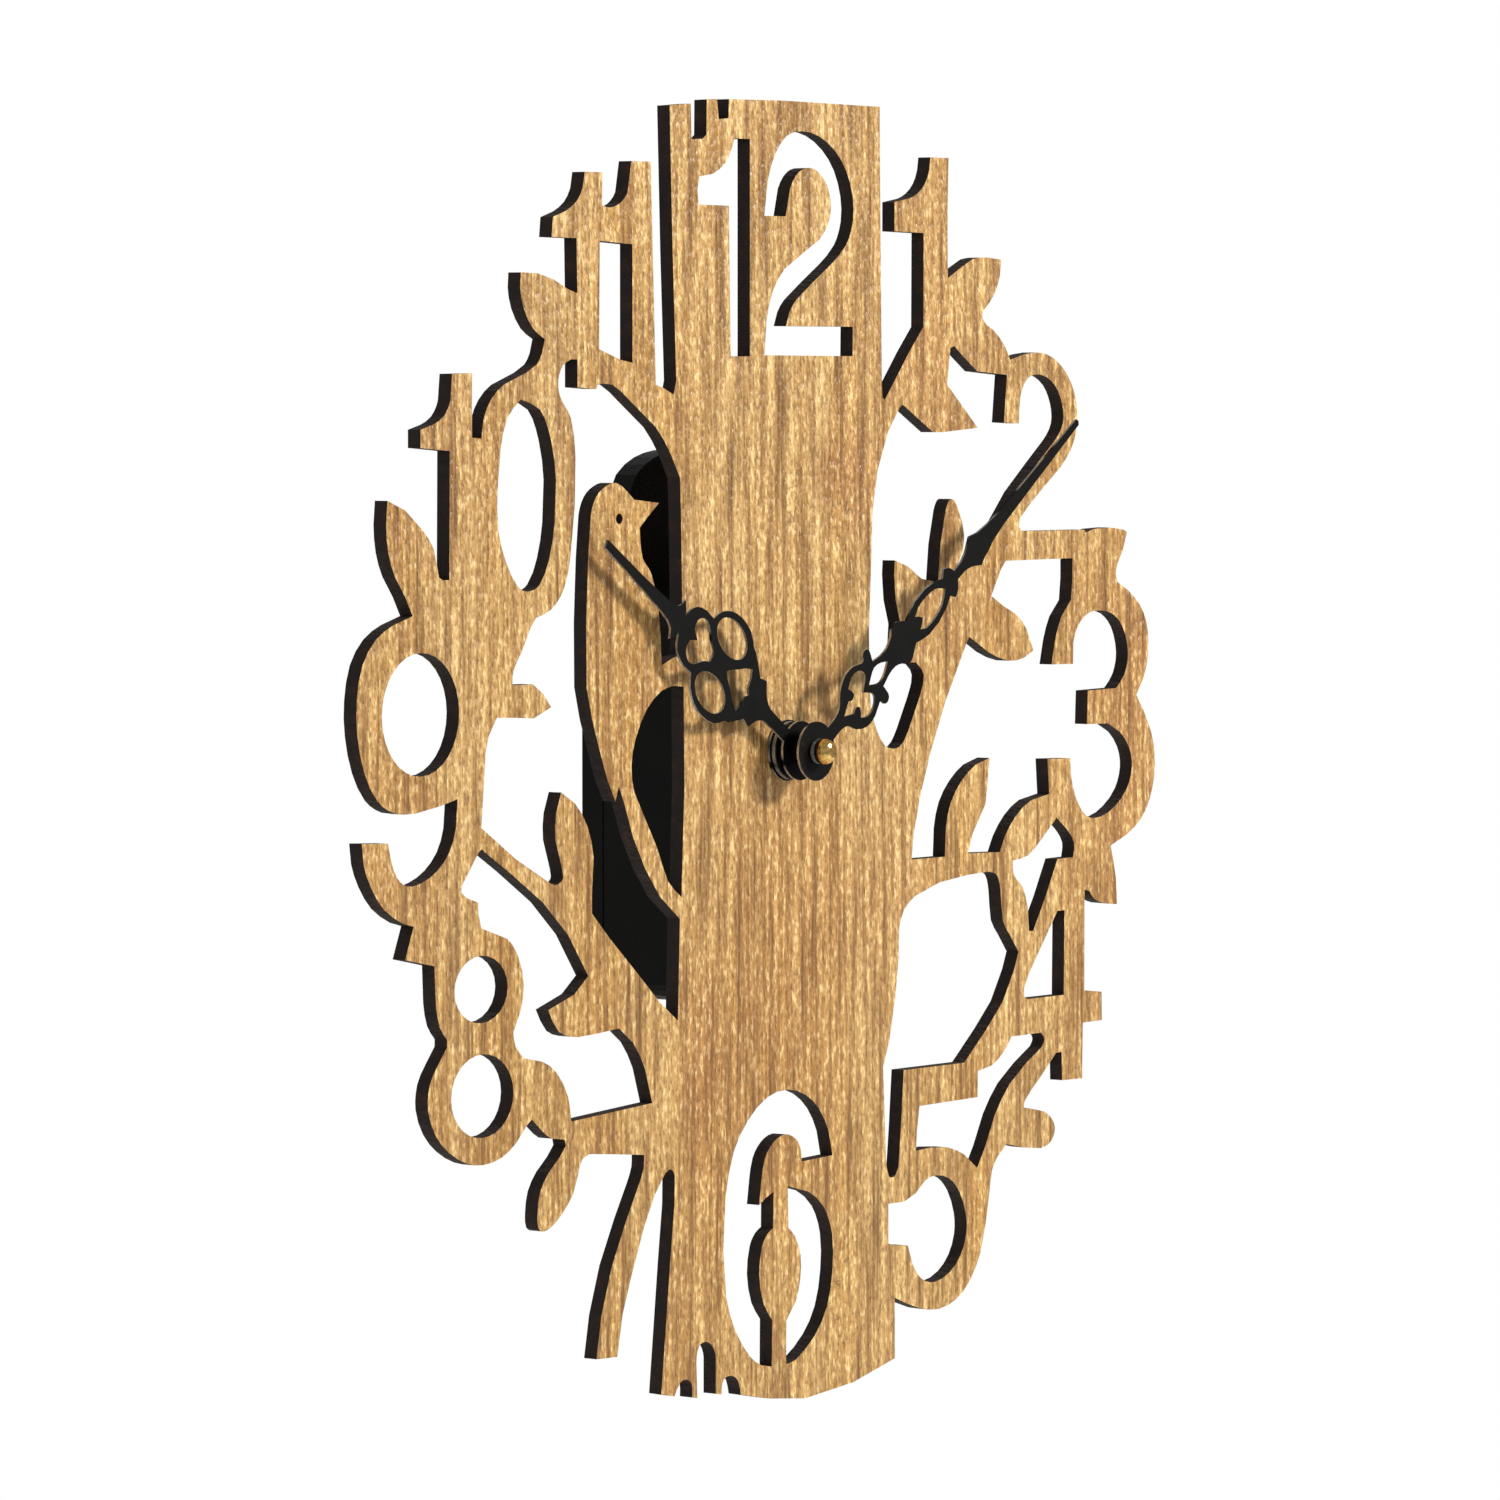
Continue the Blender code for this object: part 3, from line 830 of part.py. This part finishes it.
    train_plate = rounded_box(-25.8, 25.8, -26.0, 17.0, 2.0, 2)
    pivots = [circle(at, 0.75, 12) for at in (MINUTE_WHEEL_AT, THIRD_AT, INTERMEDIATE_AT)]
    plate("train_plate", -17.1, -15.9, train_plate, [circle(MAIN, 2.2, 16), circle(SETTING_AT, 1.5, 16), *pivots],
          white_plastic)
    bridge = outline(line((-14.0, 10.0), (-15.0, 3.0), (-3.6, -4.0), (0.0, -15.4), (12.0, -19.4), (17.2, -17.6),
                          (16.4, -12.0), (8.0, -8.0), (4.0, 3.8), (-8.0, 9.8)))
    bridge_pivots = [circle(at, 0.75, 12) for at in (MAIN, THIRD_AT, INTERMEDIATE_AT, ROTOR_AT)]
    plate("train_bridge", -7.1, -6.1, bridge, bridge_pivots, white_plastic)

    motion_work(polished_brass, white_plastic, black_plastic)
    going_train(white_plastic, polished_brass, magnet)
    motor_and_electronics(steel, copper, white_plastic, green_board, black_plastic)
    battery_and_contacts(jacket, steel)


main()
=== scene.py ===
import json
import math

import bpy
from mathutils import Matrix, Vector

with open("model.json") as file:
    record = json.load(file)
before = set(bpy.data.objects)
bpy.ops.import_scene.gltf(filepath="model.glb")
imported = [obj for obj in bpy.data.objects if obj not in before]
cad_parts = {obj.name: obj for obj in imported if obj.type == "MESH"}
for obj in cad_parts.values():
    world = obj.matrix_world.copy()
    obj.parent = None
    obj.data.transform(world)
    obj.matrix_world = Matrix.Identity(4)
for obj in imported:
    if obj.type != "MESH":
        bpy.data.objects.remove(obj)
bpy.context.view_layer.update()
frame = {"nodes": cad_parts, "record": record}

# Lengths are in metres. The dial faces -Y, and the camera stands left of it and a little above.
CAMERA_AT = (-1.13493, -0.89933, 0.07107)
VIEW_TURN = math.radians(52.2)  # between the line of sight and the dial's normal, seen from above
VIEW_DOWN = math.radians(2.843)  # the line of sight's tilt below level
LENS_MM = 178.8
SENSOR_MM = 36.0
CLIP_START = 0.05

FLOOR_Z = -0.30
FLOOR_RADIUS = 0.85
FLOOR_SIDES = 96
FLOOR_ROUGHNESS = 0.7
ROOM_LIGHT = 0.36  # how strongly the white surroundings light the clock; the camera sees them at 1

COAT_ROUGHNESS = 0.25
NO_STRETCH = (1.0, 1.0, 1.0)
NO_OFFSET = (0.0, 0.0, 0.0)
FRONT, SIDE, BACK = -1.0, 0.0, 1.0  # the normal's Y on each kind of face
FACE_EDGE = (0.15, 0.5)  # how far the normal's Y may be off: fully on the face, and no longer on it
SHEET_EDGE = (0.35, 0.7)  # the same for the narrow cut edge of the hands
NOISE_RANGE = (0.3, 0.7)  # most of a noise falls between these
THROUGH_BOARD = 0.3  # squeezes the wood's noise along the board's thickness

WIRE_PITCH = 0.00022
SLEEVE_BAND_X = (0.0138, 0.0140)  # where the battery's sleeve turns from dark to bright
SLEEVE_END_X = (0.0241, 0.0243)  # where the sleeve ends and the steel begins


def srgb(red, green, blue):
    """Linear RGBA from 8-bit screen values."""

    def linear(value):
        value /= 255
        return value / 12.92 if value <= 0.04045 else ((value + 0.055) / 1.055) ** 2.4

    return (linear(red), linear(green), linear(blue), 1.0)


class Look:
    """A material with one Principled shader, and short calls that add nodes to it."""

    def __init__(self, name, metallic=0.0, specular=0.5, coat=0.0):
        self.material = bpy.data.materials.new(name)
        self.material.use_nodes = True
        self.tree = self.material.node_tree
        self.shader = self.tree.nodes["Principled BSDF"]
        self.shader.inputs["Metallic"].default_value = metallic
        self.shader.inputs["Specular IOR Level"].default_value = specular
        self.shader.inputs["Coat Weight"].default_value = coat
        self.shader.inputs["Coat Roughness"].default_value = COAT_ROUGHNESS
        coordinates = self.tree.nodes.new("ShaderNodeTexCoord")
        self.place = coordinates.outputs["Object"]
        self.normal = coordinates.outputs["Normal"]

    def wire(self, value, socket):
        """Links an output, or sets a plain value."""
        if isinstance(value, bpy.types.NodeSocket):
            self.tree.links.new(value, socket)
        else:
            socket.default_value = value

    def part(self, vector, axis):
        """The X, Y or Z of a vector."""
        node = self.tree.nodes.new("ShaderNodeSeparateXYZ")
        self.tree.links.new(vector, node.inputs[0])
        return node.outputs[axis]

    def calc(self, operation, a, b=0.0, clamp=False):
        node = self.tree.nodes.new("ShaderNodeMath")
        node.operation = operation
        node.use_clamp = clamp
        self.wire(a, node.inputs[0])
        self.wire(b, node.inputs[1])
        return node.outputs[0]

    def noise(self, scale, stretch=NO_STRETCH, detail=2.0, rough=0.5, distort=0.0,
              offset=NO_OFFSET):
        mapping = self.tree.nodes.new("ShaderNodeMapping")
        mapping.inputs["Scale"].default_value = stretch
        mapping.inputs["Location"].default_value = offset
        self.tree.links.new(self.place, mapping.inputs["Vector"])
        node = self.tree.nodes.new("ShaderNodeTexNoise")
        node.inputs["Scale"].default_value = scale
        node.inputs["Detail"].default_value = detail
        node.inputs["Roughness"].default_value = rough
        node.inputs["Distortion"].default_value = distort
        self.tree.links.new(mapping.outputs[0], node.inputs["Vector"])
        return node.outputs["Fac"]

    def cell_walls(self, scale):
        """The distance to the nearest wall between cells."""
        node = self.tree.nodes.new("ShaderNodeTexVoronoi")
        node.feature = "DISTANCE_TO_EDGE"
        node.inputs["Scale"].default_value = scale
        self.tree.links.new(self.place, node.inputs["Vector"])
        return node.outputs["Distance"]

    def spread(self, value, low, high, to_low=0.0, to_high=1.0):
        """Maps low to high onto to_low to to_high, and holds the ends."""
        node = self.tree.nodes.new("ShaderNodeMapRange")
        node.inputs["From Min"].default_value = low
        node.inputs["From Max"].default_value = high
        node.inputs["To Min"].default_value = to_low
        node.inputs["To Max"].default_value = to_high
        self.wire(value, node.inputs["Value"])
        return node.outputs["Result"]

    def uneven(self, value, low, high):
        """Maps a noise's usual range onto low to high, as for a roughness."""
        return self.spread(value, *NOISE_RANGE, low, high)

    def ramp(self, value, *stops):
        """Colours between stops, each a position and its colour."""
        node = self.tree.nodes.new("ShaderNodeValToRGB")
        elements = node.color_ramp.elements
        while len(elements) < len(stops):
            elements.new(0.5)
        for element, (position, colour) in zip(elements, stops):
            element.position = position
            element.color = colour
        self.wire(value, node.inputs["Fac"])
        return node.outputs["Color"]

    def shades(self, value, dark, light):
        """Two colours over a noise's usual range."""
        return self.ramp(value, *zip(NOISE_RANGE, (dark, light)))

    def blend(self, factor, a, b, mode="MIX"):
        node = self.tree.nodes.new("ShaderNodeMix")
        node.data_type = "RGBA"
        node.blend_type = mode
        self.wire(factor, node.inputs["Factor"])
        self.wire(a, node.inputs["A"])
        self.wire(b, node.inputs["B"])
        return node.outputs["Result"]

    def bump(self, height, distance):
        node = self.tree.nodes.new("ShaderNodeBump")
        node.inputs["Strength"].default_value = 1.0
        node.inputs["Distance"].default_value = distance
        self.wire(height, node.inputs["Height"])
        self.tree.links.new(node.outputs["Normal"], self.shader.inputs["Normal"])

    def metallic(self, amount):
        self.wire(amount, self.shader.inputs["Metallic"])

    def finish(self, colour, roughness):
        self.wire(colour, self.shader.inputs["Base Color"])
        self.wire(roughness, self.shader.inputs["Roughness"])
        return self.material


def facing(look, side, edge):
    """1 on faces that look the given way, front, side or back, falling to 0 off them."""
    full, none = edge
    off = look.calc("ABSOLUTE", look.calc("SUBTRACT", look.part(look.normal, "Y"), side))
    return look.spread(off, full, none, 1.0, 0.0)


def patch(look, x, z, half_width, half_height):
    """1 at a place on the board, falling to 0 at the edge of an ellipse around it."""

    def squared(axis, centre, half):
        offset = look.calc("SUBTRACT", look.part(look.place, axis), centre)
        return look.calc("POWER", look.calc("DIVIDE", offset, half), 2.0)

    reach = look.calc("ADD", squared("X", x, half_width), squared("Z", z, half_height))
    return look.spread(reach, 0.0, 1.0, 1.0, 0.0)


def wood():
    """Embossed golden-oak laminate on the front, laser-burnt cut sides, and a plain back."""
    look = Look("oak_laminate")

    def grain(scale, upright, **more):
        """Noise drawn out along the height: the smaller upright is, the longer its marks."""
        return look.noise(scale, (1.0, THROUGH_BOARD, upright), **more)

    streaks = grain(680, 0.05, detail=4.0, rough=0.6, distort=0.25)
    fibres = grain(1700, 0.09, rough=0.6, offset=(0.3, 0.0, 0.7))
    flecks = grain(1500, 0.45, detail=1.0, offset=(0.1, 0.0, 0.2))
    bands = grain(52, 0.10, detail=3.0, distort=0.6, offset=(0.02, 0.0, 0.05))
    clouds = grain(16, 0.6, offset=(0.4, 0.0, 0.1))

    # The printed grain, made uneven by broad bands and redder clouds
    oak = look.ramp(streaks, (0.28, srgb(112, 78, 38)), (0.42, srgb(158, 120, 68)),
                    (0.55, srgb(190, 152, 94)), (0.72, srgb(218, 184, 124)))
    front = look.blend(look.spread(bands, 0.35, 0.7), oak, srgb(240, 226, 194), "MULTIPLY")
    redness = look.spread(clouds, 0.45, 0.75, 0.0, 0.35)
    front = look.blend(redness, front, srgb(214, 160, 96), "MULTIPLY")

    # Two reddish patches on the trunk, one above the hands at its right and one low at its left
    knots = look.calc("ADD", patch(look, 0.020, 0.052, 0.012, 0.013),
                      patch(look, -0.026, -0.060, 0.008, 0.028))
    knots = look.calc("MULTIPLY", knots, look.spread(fibres, 0.3, 0.75, 0.25, 1.0), clamp=True)
    front = look.blend(look.calc("MULTIPLY", knots, 0.5), front, srgb(196, 120, 66), "MULTIPLY")

    # Thin printed cracks, only around the foot and below the 12
    crazing = grain(70, 0.35, detail=4.0, rough=0.7, distort=1.6, offset=(0.9, 0.0, 0.4))
    lines = look.calc("ABSOLUTE", look.calc("SUBTRACT", crazing, 0.5))
    lines = look.spread(lines, 0.0, 0.008, 1.0, 0.0)
    cracked = look.calc("ADD", patch(look, 0.010, -0.100, 0.050, 0.038),
                        patch(look, 0.006, 0.048, 0.03, 0.024))
    cracks = look.calc("MULTIPLY", look.calc("MULTIPLY", lines, cracked, clamp=True), 0.75)
    front = look.blend(cracks, front, srgb(92, 56, 26))

    # Embossed flecks: painted shade in their pits, and painted glints on their tops where the
    # streak is light
    front = look.blend(look.spread(flecks, 0.30, 0.44, 0.55, 0.0), front, srgb(112, 76, 36))
    painted_glints = look.spread(flecks, 0.55, 0.68, 0.0, 0.6)
    painted_glints = look.calc("MULTIPLY", painted_glints, look.spread(streaks, 0.36, 0.6))
    front = look.blend(painted_glints, front, srgb(250, 222, 160))

    burnt = look.ramp(look.noise(420, detail=3.0), (0.3, srgb(16, 8, 4)), (0.6, srgb(36, 18, 8)),
                      (0.8, srgb(62, 34, 15)))
    behind = look.shades(look.noise(900, detail=3.0), srgb(118, 86, 56), srgb(150, 114, 76))

    on_front = facing(look, FRONT, FACE_EDGE)
    colour = look.blend(on_front, burnt, front)
    colour = look.blend(facing(look, BACK, FACE_EDGE), colour, behind)
    grooves, threads, pimples = [look.calc("MULTIPLY", marks, share)
                                 for marks, share in ((streaks, 0.5), (fibres, 0.3), (flecks, 0.5))]
    look.bump(look.calc("ADD", look.calc("ADD", grooves, threads), pimples), 0.0010)
    bare = (0.8, 0.8, 0.8, 1.0)
    return look.finish(colour, look.blend(on_front, bare, look.uneven(fibres, 0.30, 0.50)))


def hand_paint():
    """Matte black paint over aluminium sheet, bare on the stamped edges."""
    look = Look("black_hand_paint", specular=0.1)
    speckle = look.noise(5200)
    paint = look.ramp(look.noise(240, detail=3.0), (0.3, srgb(2, 2, 2)), (0.75, srgb(8, 7, 7)))
    bare = look.shades(look.noise(1500, (1.0, 4.0, 1.0)), srgb(150, 148, 144), srgb(214, 212, 206))
    rubbed = look.spread(look.noise(160), 0.36, 0.50)
    sheet = look.calc("MULTIPLY", facing(look, SIDE, SHEET_EDGE), rubbed)
    look.metallic(look.calc("MULTIPLY", sheet, 0.9))
    look.bump(speckle, 0.00003)
    return look.finish(look.blend(sheet, paint, bare), look.uneven(speckle, 0.38, 0.55))


def moulded(name, dark, light, smooth, rough, grain=2600, depth=0.00006, specular=0.5):
    """Plastic or rubber with a fine moulded grain and slight tone variation."""
    look = Look(name, specular=specular)
    skin = look.noise(grain)
    colour = look.shades(look.noise(70, detail=3.0), dark, light)
    look.bump(skin, depth)
    return look.finish(colour, look.uneven(skin, smooth, rough))


def metal(name, dark, light, smooth, rough):
    """Metal with fine drawn or turned marks."""
    look = Look(name, metallic=1.0)
    marks = look.noise(1800, detail=3.0)
    look.bump(marks, 0.00002)
    return look.finish(look.shades(marks, dark, light), look.uneven(marks, smooth, rough))


def winding():
    """Lacquered copper wire in fine turns along the coil, with painted shade between the turns and
    painted highlight on their tops.
    """
    look = Look("copper_wire", metallic=0.9, coat=0.5)
    turn = look.calc("MULTIPLY", look.part(look.place, "Z"), 2 * math.pi / WIRE_PITCH)
    ridge = look.spread(look.calc("SINE", turn), -1.0, 1.0)
    # painted shade in the grooves between turns and painted highlight on their tops
    colour = look.ramp(ridge, (0.1, srgb(92, 40, 20)), (0.8, srgb(206, 112, 62)))
    look.bump(ridge, 0.00008)
    return look.finish(colour, look.uneven(look.noise(900), 0.25, 0.4))


def solder_mask():
    """Green board with paler tracks under the mask."""
    look = Look("green_circuit_board", coat=0.6)
    between = look.spread(look.cell_walls(420), 0.03, 0.06)
    colour = look.blend(between, srgb(58, 128, 78), srgb(18, 72, 40))
    look.bump(between, 0.00005)
    return look.finish(colour, look.uneven(look.noise(1500), 0.3, 0.42))


def battery_sleeve():
    """A plain dark sleeve with a bright band at the positive end, and bare steel past the band."""
    look = Look("battery_jacket", coat=0.8)
    length = look.part(look.place, "X")
    scuffs = look.noise(600, (0.3, 1.0, 1.0), detail=4.0)
    sleeve = look.blend(look.spread(length, *SLEEVE_BAND_X), srgb(24, 62, 44), srgb(196, 150, 70))
    worn = look.blend(look.spread(scuffs, 0.6, 0.8, 0.0, 0.3), sleeve, srgb(120, 124, 118))
    steel = look.spread(length, *SLEEVE_END_X)
    look.metallic(look.calc("MULTIPLY", steel, 0.95))
    look.bump(scuffs, 0.00002)
    return look.finish(look.blend(steel, worn, srgb(190, 190, 190)), look.uneven(scuffs, 0.25, 0.4))


looks = {
    "oak_laminate": wood(),
    "black_hand_paint": hand_paint(),
    "polished_brass": metal("polished_brass", srgb(196, 150, 78), srgb(236, 198, 122), 0.10, 0.22),
    "bright_steel": metal("bright_steel", srgb(168, 168, 166), srgb(222, 222, 220), 0.18, 0.34),
    "black_rubber": moulded("black_rubber", srgb(18, 18, 18), srgb(32, 32, 31), 0.7, 0.9,
                            grain=1800, depth=0.0001),
    "black_plastic": moulded("black_plastic", srgb(6, 8, 5), srgb(16, 18, 14), 0.36, 0.52,
                             grain=2400, depth=0.0001, specular=0.15),
    "white_plastic": moulded("white_plastic", srgb(214, 213, 206), srgb(236, 235, 229), 0.35, 0.5),
    "copper_wire": winding(),
    "green_circuit_board": solder_mask(),
    "rotor_magnet": moulded("rotor_magnet", srgb(40, 40, 43), srgb(64, 64, 68), 0.35, 0.5),
    "battery_jacket": battery_sleeve(),
}
for row in frame["record"]["subparts"]:
    node = frame["nodes"][row["node"]]
    node.data.materials.clear()
    node.data.materials.append(looks[row["material_slot"]])


def placed(name, data, at, direction):
    """A light or camera in the scene, looking along a direction."""
    obj = bpy.data.objects.new(name, data)
    bpy.context.scene.collection.objects.link(obj)
    obj.location = at
    obj.rotation_euler = direction.to_track_quat("-Z", "Y").to_euler()
    return obj


def softbox(name, at, side, power, colour=(1.0, 1.0, 1.0)):
    """A square light aimed at the origin, in the middle of the clock's back."""
    light = bpy.data.lights.new(name, "AREA")
    light.shape = "RECTANGLE"
    light.size = side
    light.size_y = side
    light.energy = power
    light.color = colour
    placed(name, light, at, -Vector(at))


softbox("key_light", (0.75, -1.25, 0.75), side=0.30, power=32.0, colour=(1.0, 0.97, 0.92))
softbox("fill_light", (-1.5, -1.0, 0.6), side=1.0, power=5.0)

# White all round. Camera rays see it at full strength, and the clock is lit by a part of it.
world = bpy.data.worlds.new("studio")
world.use_nodes = True
backdrop = world.node_tree.nodes["Background"]
backdrop.inputs["Color"].default_value = (1.0, 1.0, 1.0, 1.0)
rays = world.node_tree.nodes.new("ShaderNodeLightPath")
level = world.node_tree.nodes.new("ShaderNodeMapRange")
level.inputs["To Min"].default_value = ROOM_LIGHT
level.inputs["To Max"].default_value = 1.0
world.node_tree.links.new(rays.outputs["Is Camera Ray"], level.inputs["Value"])
world.node_tree.links.new(level.outputs["Result"], backdrop.inputs["Strength"])
bpy.context.scene.world = world
bpy.context.scene.view_settings.view_transform = "Standard"

# A pale disc below the clock, which hangs clear of it
floor_mesh = bpy.data.meshes.new("floor")
turns = [math.tau * step / FLOOR_SIDES for step in range(FLOOR_SIDES)]
rim = [(FLOOR_RADIUS * math.cos(turn), FLOOR_RADIUS * math.sin(turn), FLOOR_Z) for turn in turns]
floor_mesh.from_pydata(rim, [], [list(range(FLOOR_SIDES))])
floor = bpy.data.objects.new("floor", floor_mesh)
bpy.context.scene.collection.objects.link(floor)
floor_look = Look("pale_floor")
floor_tone = floor_look.shades(floor_look.noise(12), srgb(236, 236, 234), srgb(242, 242, 240))
floor.data.materials.append(floor_look.finish(floor_tone, FLOOR_ROUGHNESS))

camera_data = bpy.data.cameras.new("photo_view")
camera_data.lens = LENS_MM
camera_data.sensor_width = SENSOR_MM
camera_data.clip_start = CLIP_START
level_reach = math.cos(VIEW_DOWN)
sight = Vector((math.sin(VIEW_TURN) * level_reach, math.cos(VIEW_TURN) * level_reach,
                -math.sin(VIEW_DOWN)))
bpy.context.scene.camera = placed("photo_view", camera_data, CAMERA_AT, sight)
